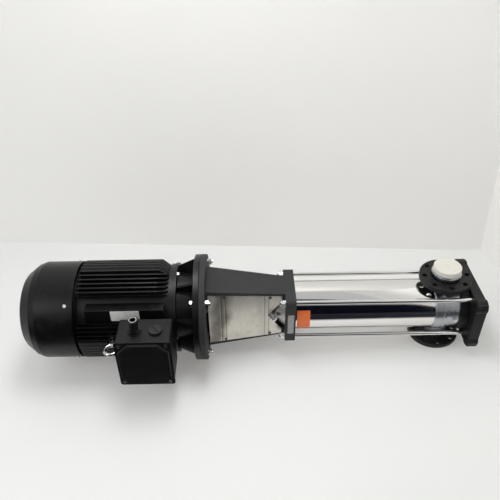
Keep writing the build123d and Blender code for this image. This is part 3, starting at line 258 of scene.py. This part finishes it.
black_gloss = paint("black motor paint", rgb(0.0032, 0.0032, 0.0036))
black_frame = paint("black frame paint", rgb(0.0036, 0.0037, 0.0042), grain=0.0004, shine=0.36)
black_box = paint("black terminal box paint", rgb(0.0045, 0.0045, 0.005), gloss=0.38, grain=0.0004)
black_flange = paint("black flange paint", rgb(0.007, 0.007, 0.0074), gloss=0.4, grain=0.0005, shine=0.34,
                     dustiness=0.25)
charcoal = casting("charcoal stool casting", rgb(0.028, 0.0285, 0.03), rgb(0.09, 0.09, 0.088))
foot_black = casting("black foot casting", rgb(0.006, 0.006, 0.0065), rgb(0.03, 0.03, 0.03),
                     rough=0.42, grain=0.0005)
casing_steel = stainless("satin casing stainless", rgb(0.5, 0.52, 0.56), rough=0.24, lines=0.5, smudge=0.5,
                         streak=SATIN, grain=0.0001)
sleeve_steel = stainless("polished sleeve stainless", rgb(0.88, 0.87, 0.845), rough=0.06,
                         lines=0.18, smudge=0.25, streak=POLISHED)
rod_steel = stainless("polished rod stainless", rgb(0.84, 0.84, 0.82), rough=0.08, lines=0.2, smudge=0.2,
                      streak=POLISHED)
head_steel = stainless("cast head stainless", rgb(0.62, 0.61, 0.58), rough=0.32, lines=0.5, smudge=0.6,
                       grain=0.0002)
guard_steel = wiped_sheet("satin guard stainless", rgb(0.7, 0.675, 0.61))
zinc = plated("zinc plate")
bright_zinc = plated("bright lifting ring plate", rgb(0.88, 0.875, 0.85), 0.16)
dark_screw = plated("dark screw plate", rgb(0.16, 0.15, 0.14), 0.35)
shaft_steel = stainless("ground shaft steel", rgb(0.6, 0.6, 0.6), rough=0.25, lines=0.4, smudge=0.3)
white_cap = plastic("white cap polyethylene", rgb(0.88, 0.85, 0.77), rgb(0.74, 0.71, 0.63), 0.4)
black_plastic = plastic("black gland plastic", rgb(0.006, 0.006, 0.006), rgb(0.02, 0.02, 0.02), 0.4)
plate_white = plastic("bare rating plate", rgb(0.8, 0.8, 0.76), rgb(0.55, 0.55, 0.52), 0.36, scale=60.0)
orange_film = plastic("orange label film", rgb(0.88, 0.17, 0.035), rgb(0.9, 0.34, 0.14), 0.38, scale=120.0)
grey_film = plastic("grey label film", rgb(0.42, 0.42, 0.41), rgb(0.05, 0.05, 0.05), 0.4, scale=150.0)
# a pale ring painted on the black gland's rim as a painted highlight
gland_rim_highlight = plastic("gland rim painted highlight", rgb(0.55, 0.55, 0.53), rgb(0.3, 0.3, 0.3), 0.35)
copper = plastic("varnished copper", rgb(0.45, 0.16, 0.06), rgb(0.3, 0.1, 0.04), 0.35)
core_steel = casting("core laminations", rgb(0.12, 0.12, 0.12), rgb(0.2, 0.2, 0.2))
seal_dark = plastic("seal face carbon", rgb(0.05, 0.05, 0.05), rgb(0.09, 0.09, 0.09), 0.4)

FINISHES = {
    black_gloss: ("fan_cover", "rear_shield"),
    black_frame: ("motor_frame", "drive_end_shield"),
    black_box: ("terminal_box", "terminal_box_lid"),
    black_flange: ("discharge_flange", "suction_flange"),
    foot_black: ("base_plate",),
    charcoal: ("motor_stool",),
    casing_steel: ("base_casing", "sleeve_collar"),
    sleeve_steel: ("outer_sleeve",),
    rod_steel: ("tie_rods",),
    head_steel: ("pump_head",),
    guard_steel: ("coupling_guard_front", "coupling_guard_rear"),
    bright_zinc: ("eye_bolts",),
    zinc: ("tie_rod_nuts", "flange_bolts", "shield_bolts", "drain_plug", "priming_plug", "vent_screw",
           "retaining_rings", "coupling_bolts", "lid_screws", "fan_cover_screws"),
    dark_screw: ("guard_screws",),
    white_cap: ("port_cap",),
    black_plastic: ("cable_gland", "blanking_plug", "cooling_fan", "terminal_block"),
    plate_white: ("nameplate",),
    shaft_steel: ("pump_shaft", "motor_shaft", "motor_bearings", "coupling_half_front", "coupling_half_rear")
    + tuple(f"{part}_{stage}" for part in ("impeller", "chamber") for stage in range(1, 8)),
    core_steel: ("stator_core", "rotor_core"),
    copper: ("stator_windings",),
    seal_dark: ("seal_seat", "seal_ring", "bearing_bushes"),
}
for finish, names in FINISHES.items():
    for name in names:
        NODES[name].data.materials.clear()
        NODES[name].data.materials.append(finish)


# ------------------------------------------------------------ labels and plates
def add_mesh(name, verts, faces, material, body):
    """A thin piece of scene dressing that rides on a body."""
    mesh = bpy.data.meshes.new(name)
    mesh.from_pydata([tuple(v) for v in verts], [], faces)
    mesh.materials.append(material)
    made = bpy.data.objects.new(name, mesh)
    bpy.context.scene.collection.objects.link(made)
    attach(made, body)


def curved_label(name, radius, thick, angle_from, angle_to, z_from, z_to, material, body, slot_name,
                 steps=14):
    """A thin film bent round the shaft axis; angles in degrees from +X."""
    verts = []
    for i in range(steps + 1):
        a = radians(angle_from + (angle_to - angle_from) * i / steps)
        for r in (radius, radius + thick):
            for z in (z_from, z_to):
                verts.append((r * cos(a), r * sin(a), z))
    faces = []
    for i in range(steps):
        j = 4 * i
        faces += [(j + 2, j + 3, j + 7, j + 6), (j, j + 4, j + 5, j + 1)]
        faces += [(j, j + 2, j + 6, j + 4), (j + 1, j + 5, j + 7, j + 3)]
    last = 4 * steps
    faces += [(0, 1, 3, 2), (last, last + 2, last + 3, last + 1)]
    add_mesh(name, verts, faces, material, body)


def flat_plate(name, low, high, material, body):
    """A thin box between two corners."""
    (x0, y0, z0), (x1, y1, z1) = low, high
    verts = [(x, y, z) for x in (x0, x1) for y in (y0, y1) for z in (z0, z1)]
    faces = [(0, 1, 3, 2), (4, 6, 7, 5), (0, 4, 5, 1), (2, 3, 7, 6), (0, 2, 6, 4), (1, 5, 7, 3)]
    add_mesh(name, verts, faces, material, body)


def washer_plate(name, centre, inner, outer, thick, material, body, slot_name, steps=40):
    """A flat ring facing +X, its far face at the centre."""
    cx, cy, cz = centre
    verts = []
    for i in range(steps):
        a = radians(360.0 * i / steps)
        for r in (inner, outer):
            for x in (cx - thick, cx):
                verts.append((x, cy + r * cos(a), cz + r * sin(a)))
    faces = []
    for i in range(steps):
        j, k = 4 * i, 4 * ((i + 1) % steps)
        faces += [(j + 1, k + 1, k + 3, j + 3), (j, j + 2, k + 2, k)]
        faces += [(j, k, k + 1, j + 1), (j + 2, j + 3, k + 3, k + 2)]
    add_mesh(name, verts, faces, material, body)


FILM = 0.0003
LABEL_TURN = (-114.5, -61.5)  # degrees round the shaft
LABEL_DROP = (0.062, 0.006)  # below the stool's foot
GREY_LABEL_X = (-0.062, 0.045)
GREY_LABEL_RISE = (0.008, 0.034)  # above the stool's foot
STOOL_FACE_Y = -0.117  # front of the stool's square foot
GLAND_RIM = (0.0125, 0.0155)  # inner and outer radius
sleeve_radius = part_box("outer_sleeve")[1][0]
foot_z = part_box("motor_stool")[0][2]
gland_low, gland_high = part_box("cable_gland")

curved_label("orange_label", sleeve_radius + FILM / 3, FILM, *LABEL_TURN, foot_z - LABEL_DROP[0],
             foot_z - LABEL_DROP[1], orange_film, "housing", "sleeve_stainless")
flat_plate("grey_label", (GREY_LABEL_X[0], STOOL_FACE_Y - FILM * 1.5, foot_z + GREY_LABEL_RISE[0]),
           (GREY_LABEL_X[1], STOOL_FACE_Y - FILM / 2, foot_z + GREY_LABEL_RISE[1]), grey_film, "housing")
gland_mouth = (gland_high[0] + FILM, (gland_low[1] + gland_high[1]) / 2, (gland_low[2] + gland_high[2]) / 2)
# painted highlight: a pale ring at the gland's mouth
washer_plate("gland_rim", gland_mouth, *GLAND_RIM, FILM * 2, gland_rim_highlight, "housing", "black_plastic")


# ------------------------------------------------------------ floor, walls, light and camera
TILT = 0.052  # the floor falls away from the motor's flange rim to the lower port flange
FLOOR_X = -0.2328
FLOOR_Z = 1.218


def floor_point(y, z, height=0.0):
    return (FLOOR_X - TILT * (z - FLOOR_Z) + height, y, z + TILT * height)


def stage_plane(name, corners, material, uphill):
    mesh = bpy.data.meshes.new(name)
    mesh.from_pydata([tuple(c) for c in corners], [], [(0, 1, 2, 3)])
    mesh.materials.append(material)
    made = bpy.data.objects.new(name, mesh)
    bpy.context.scene.collection.objects.link(made)
    if mesh.polygons[0].normal.dot(Vector(uphill)) < 0:
        mesh.flip_normals()


def backdrop(name, colour, second, veins, glow, paint_dark_reflection=False):
    """Pale painted board, seen from its front only, with a faint glow of its own to the viewer; on request a
    painted dark reflection at its front.
    """
    f = Finish(name, Roughness=0.55, Specular_IOR_Level=0.3, Emission_Strength=1.0)
    mottled = (f.noise(3.0, 4.0, 0.6).band(0.3, 0.8) * veins).clamped()
    board = f.mix(mottled, colour, second)
    lit = f.path_is(CAMERA_RAY, GLOSSY_RAY)
    if paint_dark_reflection:
        # painted reflection: glossy rays see the front of the floor as the dark room, camera rays still see
        # the pale board
        painted_dark_reflection = f.axis_part("Y").band(*DARK_REFLECTION_SPAN_Y) * f.path_is(GLOSSY_RAY)
        board = f.mix(painted_dark_reflection, board, DARK_ROOM_REFLECTION)
        lit = lit - painted_dark_reflection
    f.feed(Base_Color=board, Emission_Color=f.mix(lit, rgb(0.0, 0.0, 0.0), glow))
    hidden = f.node("ShaderNodeNewGeometry", output="Backfacing") * f.path_is(CAMERA_RAY)
    clear = f.node("ShaderNodeBsdfTransparent")
    own = Shade(f.tree, f.shader.outputs[0])
    seen = f.node("ShaderNodeMixShader", i0=hidden, i1=own, i2=clear)
    f.tree.links.new(seen.socket, f.tree.nodes["Material Output"].inputs["Surface"])
    return f.material


DARK_REFLECTION_SPAN_Y = (-0.34, -0.46)  # in glossy rays only, the floor fades to the dark of the room between these: a painted dark reflection
DARK_ROOM_REFLECTION = rgb(0.004, 0.005, 0.012)
floor_board = backdrop("pale floor board", rgb(0.8, 0.8, 0.79), rgb(0.76, 0.765, 0.77), 0.8,
                       rgb(0.17, 0.165, 0.155), paint_dark_reflection=True)
wall_board = backdrop("pale wall board", rgb(0.8, 0.79, 0.765), rgb(0.76, 0.755, 0.735), 0.8,
                      rgb(0.22, 0.217, 0.205))
CORNER = (0.5829, -0.2813)  # where the two walls meet the floor, y and z
BACK_WALL_RUN = (0.56112, 4.42624)  # from the corner to the wall's far end
SIDE_WALL_RUN = (-3.878, -0.738)
WALL_HEIGHT = 4.0
FLOOR_Y, FLOOR_ENDS = (-4, 2), (-4, 6)


def wall(name, run, room_side):
    far_end = (CORNER[0] + run[0], CORNER[1] + run[1])
    corners = [floor_point(*CORNER), floor_point(*far_end), floor_point(*far_end, WALL_HEIGHT),
               floor_point(*CORNER, WALL_HEIGHT)]
    stage_plane(name, corners, wall_board, room_side)


floor_corners = [(FLOOR_Y[0], FLOOR_ENDS[0]), (FLOOR_Y[0], FLOOR_ENDS[1]), (FLOOR_Y[1], FLOOR_ENDS[1]),
                 (FLOOR_Y[1], FLOOR_ENDS[0])]
stage_plane("floor", [floor_point(*corner) for corner in floor_corners], floor_board, (1, 0, 0))
wall("back_wall", BACK_WALL_RUN, (0, -1, 0))
wall("side_wall", SIDE_WALL_RUN, (0, 0, 1))

world = bpy.data.worlds.new("room light")
bpy.context.scene.world = world
world.use_nodes = True
room = Nodes(world.node_tree)
ways = room.node("ShaderNodeTexCoord", output="Generated")
up_part = room.node("ShaderNodeSeparateXYZ", output="X", Vector=ways)
rear_part = room.node("ShaderNodeSeparateXYZ", output="Y", Vector=ways)


def lean_forward(degrees_from_up):
    """How far each direction points that way, between up and the front."""
    turn = radians(degrees_from_up)
    return up_part * cos(turn) - rear_part * sin(turn)


# the dark of the room in front of the pump, seen only in polished metal and glossy paint
dark = (lean_forward(84.0).band(0.8, 0.87) + lean_forward(30.0).band(0.985, 0.99) * 0.8).clamped()
sky = room.mix(dark * room.path_is(GLOSSY_RAY), rgb(0.97, 0.98, 1.0), DARK_ROOM_REFLECTION)
background = world.node_tree.nodes["Background"]
world.node_tree.links.new(sky.socket, background.inputs["Color"])
background.inputs["Strength"].default_value = 0.55


def soft_lamp(name, place, aim, size, power):
    light = bpy.data.lights.new(name, "AREA")
    light.shape = "RECTANGLE"
    light.size, light.size_y = size
    light.energy = power
    made = bpy.data.objects.new(name, light)
    made.location = place
    made.rotation_euler = (Vector(aim) - Vector(place)).to_track_quat("-Z", "Y").to_euler()
    bpy.context.scene.collection.objects.link(made)


soft_lamp("ceiling_panel", (2.4, 0.5, 1.2), (0, 0, 0.9), (1.8, 0.7), 36.0)
soft_lamp("side_panel", (1.6, -1.6, 3.2), (0, 0, 1.2), (1.2, 0.9), 14.0)

camera_data = bpy.data.cameras.new("camera")
camera_data.sensor_width = 36.0
camera_data.lens = 40.68
camera = bpy.data.objects.new("camera", camera_data)
bpy.context.scene.collection.objects.link(camera)
bpy.context.scene.camera = camera
CAMERA_AT = Vector((1.702, -1.864, 0.999))
PITCH, YAW, ROLL = radians(36.8), radians(0.6), radians(-0.6)
forward = Vector((-sin(PITCH), cos(YAW) * cos(PITCH), -sin(YAW) * cos(PITCH)))
level_right = Vector((0.0, -sin(YAW), -cos(YAW)))
level_up = level_right.cross(forward)
right = level_right * cos(ROLL) + level_up * sin(ROLL)
upward = level_up * cos(ROLL) - level_right * sin(ROLL)
camera.matrix_world = Matrix((
    (right.x, upward.x, -forward.x, CAMERA_AT.x),
    (right.y, upward.y, -forward.y, CAMERA_AT.y),
    (right.z, upward.z, -forward.z, CAMERA_AT.z),
    (0, 0, 0, 1),
))
bpy.context.scene.view_settings.view_transform = "Standard"
